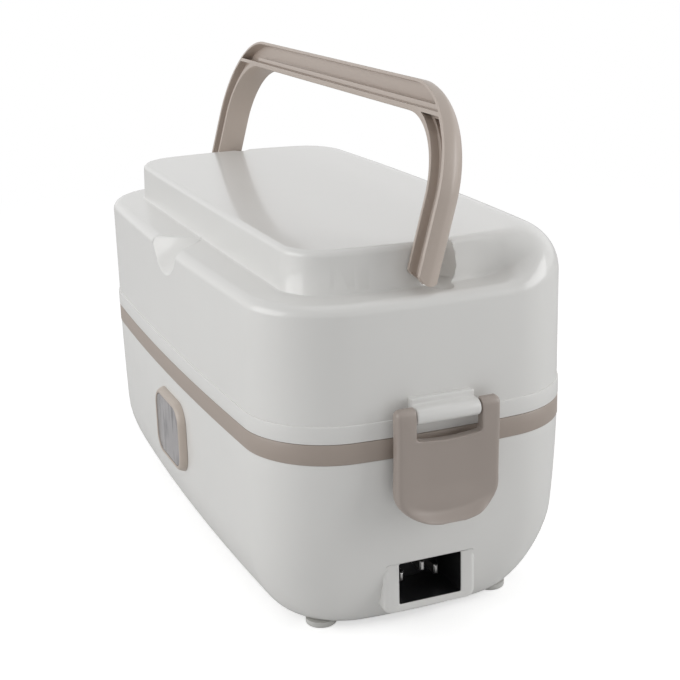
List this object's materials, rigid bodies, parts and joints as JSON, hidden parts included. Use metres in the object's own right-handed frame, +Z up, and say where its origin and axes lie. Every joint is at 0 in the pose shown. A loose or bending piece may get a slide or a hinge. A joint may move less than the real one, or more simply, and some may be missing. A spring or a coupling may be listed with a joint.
{
  "type": "electric lunch box",
  "caption": "Electric lunch box: heated base with power inlet, lift-off lid with raised top, folding carry handle, end latches, steel food tray and side-dish tray.",
  "frame": {"origin": "on the table under the middle of the box", "axes": "+Z up, +X towards the end with the power inlet, -Y towards the long side with the indicator window"},
  "size_m": [0.256, 0.1266, 0.1927],
  "materials": {
    "shell_white": "smooth moulded gloss",
    "collar_beige": "satin moulded",
    "liner_white": "satin moulded",
    "plate_aluminium": "turned, bare",
    "silicone": "matte, translucent white",
    "heater_aluminium": "extruded, bare",
    "mica": "flaky sheet",
    "steel": "zinc-plated",
    "thermostat_black": "moulded",
    "fuse_sleeve": "woven sleeve",
    "wire_brown": "insulation",
    "wire_blue": "insulation",
    "wire_green_yellow": "insulation",
    "wire_red": "insulation",
    "inlet_black": "moulded",
    "pin_metal": "nickel-plated",
    "bezel_beige": "satin moulded",
    "lens_grey": "smoky translucent",
    "board_green": "coated board",
    "led_amber": "clear tinted",
    "foot_rubber": "matte",
    "tray_steel": "drawn, satin",
    "tray_white": "satin moulded",
    "handle_beige": "satin moulded",
    "latch_beige": "satin moulded"
  },
  "bodies": {
    "base": {"base_housing": "shell_white", "base_collar": "collar_beige", "inner_liner": "liner_white", "heating_plate": "plate_aluminium", "plate_seal": "silicone", "ptc_heater": "heater_aluminium", "insulation_pad": "mica", "heater_clamp": "steel", "clamp_screws": "steel", "thermostat": "thermostat_black", "thermal_fuse": "fuse_sleeve", "wire_live": "wire_brown", "wire_neutral": "wire_blue", "wire_earth": "wire_green_yellow", "indicator_wires": "wire_red", "power_inlet": "inlet_black", "inlet_pins": "pin_metal", "indicator_bezel": "bezel_beige", "indicator_lens": "lens_grey", "indicator_board": "board_green", "indicator_led": "led_amber", "feet": "foot_rubber", "base_screws": "steel"},
    "lid": {"lid_shell": "shell_white", "lid_seal": "silicone", "latch_pin_right": "steel", "latch_pin_left": "steel"},
    "handle": {"handle": "handle_beige"},
    "latch_right": {"latch_right": "latch_beige"},
    "latch_left": {"latch_left": "latch_beige"},
    "food_tray": {"food_tray": "tray_steel"},
    "tray_cover": {"tray_cover": "tray_white", "tray_seal": "silicone", "steam_plug": "silicone"},
    "side_dish_tray": {"side_dish_tray": "tray_white"}
  },
  "joints": [
    {"name": "lid_lift", "type": "slide", "parent": "base", "child": "lid", "axis": [0, 0, 1], "range_m": [0, 0.16]},
    {"name": "handle_fold", "type": "hinge", "parent": "lid", "child": "handle", "pos_m": [0, 0, 0.133], "axis": [1, 0, 0], "range_deg": [0, 105.6]},
    {"name": "latch_right_open", "type": "hinge", "parent": "lid", "child": "latch_right", "pos_m": [0.1224, 0, 0.0871], "axis": [0, -1, 0], "range_deg": [0, 100]},
    {"name": "latch_left_open", "type": "hinge", "parent": "lid", "child": "latch_left", "pos_m": [-0.1224, 0, 0.0871], "axis": [0, 1, 0], "range_deg": [0, 100]},
    {"name": "dish_lift", "type": "slide", "parent": "base", "child": "side_dish_tray", "axis": [0, 0, 1], "range_m": [0, 0.1152]},
    {"name": "cover_lift", "type": "slide", "parent": "base", "child": "tray_cover", "axis": [0, 0, 1], "range_m": [0, 0.08]},
    {"name": "tray_lift", "type": "slide", "parent": "base", "child": "food_tray", "axis": [0, 0, 1], "range_m": [0, 0.048]}
  ],
  "couplings": [
    {"joint": "dish_lift", "follows": "lid_lift", "ratio": 0.72},
    {"joint": "cover_lift", "follows": "lid_lift", "ratio": 0.5},
    {"joint": "tray_lift", "follows": "lid_lift", "ratio": 0.3}
  ]
}
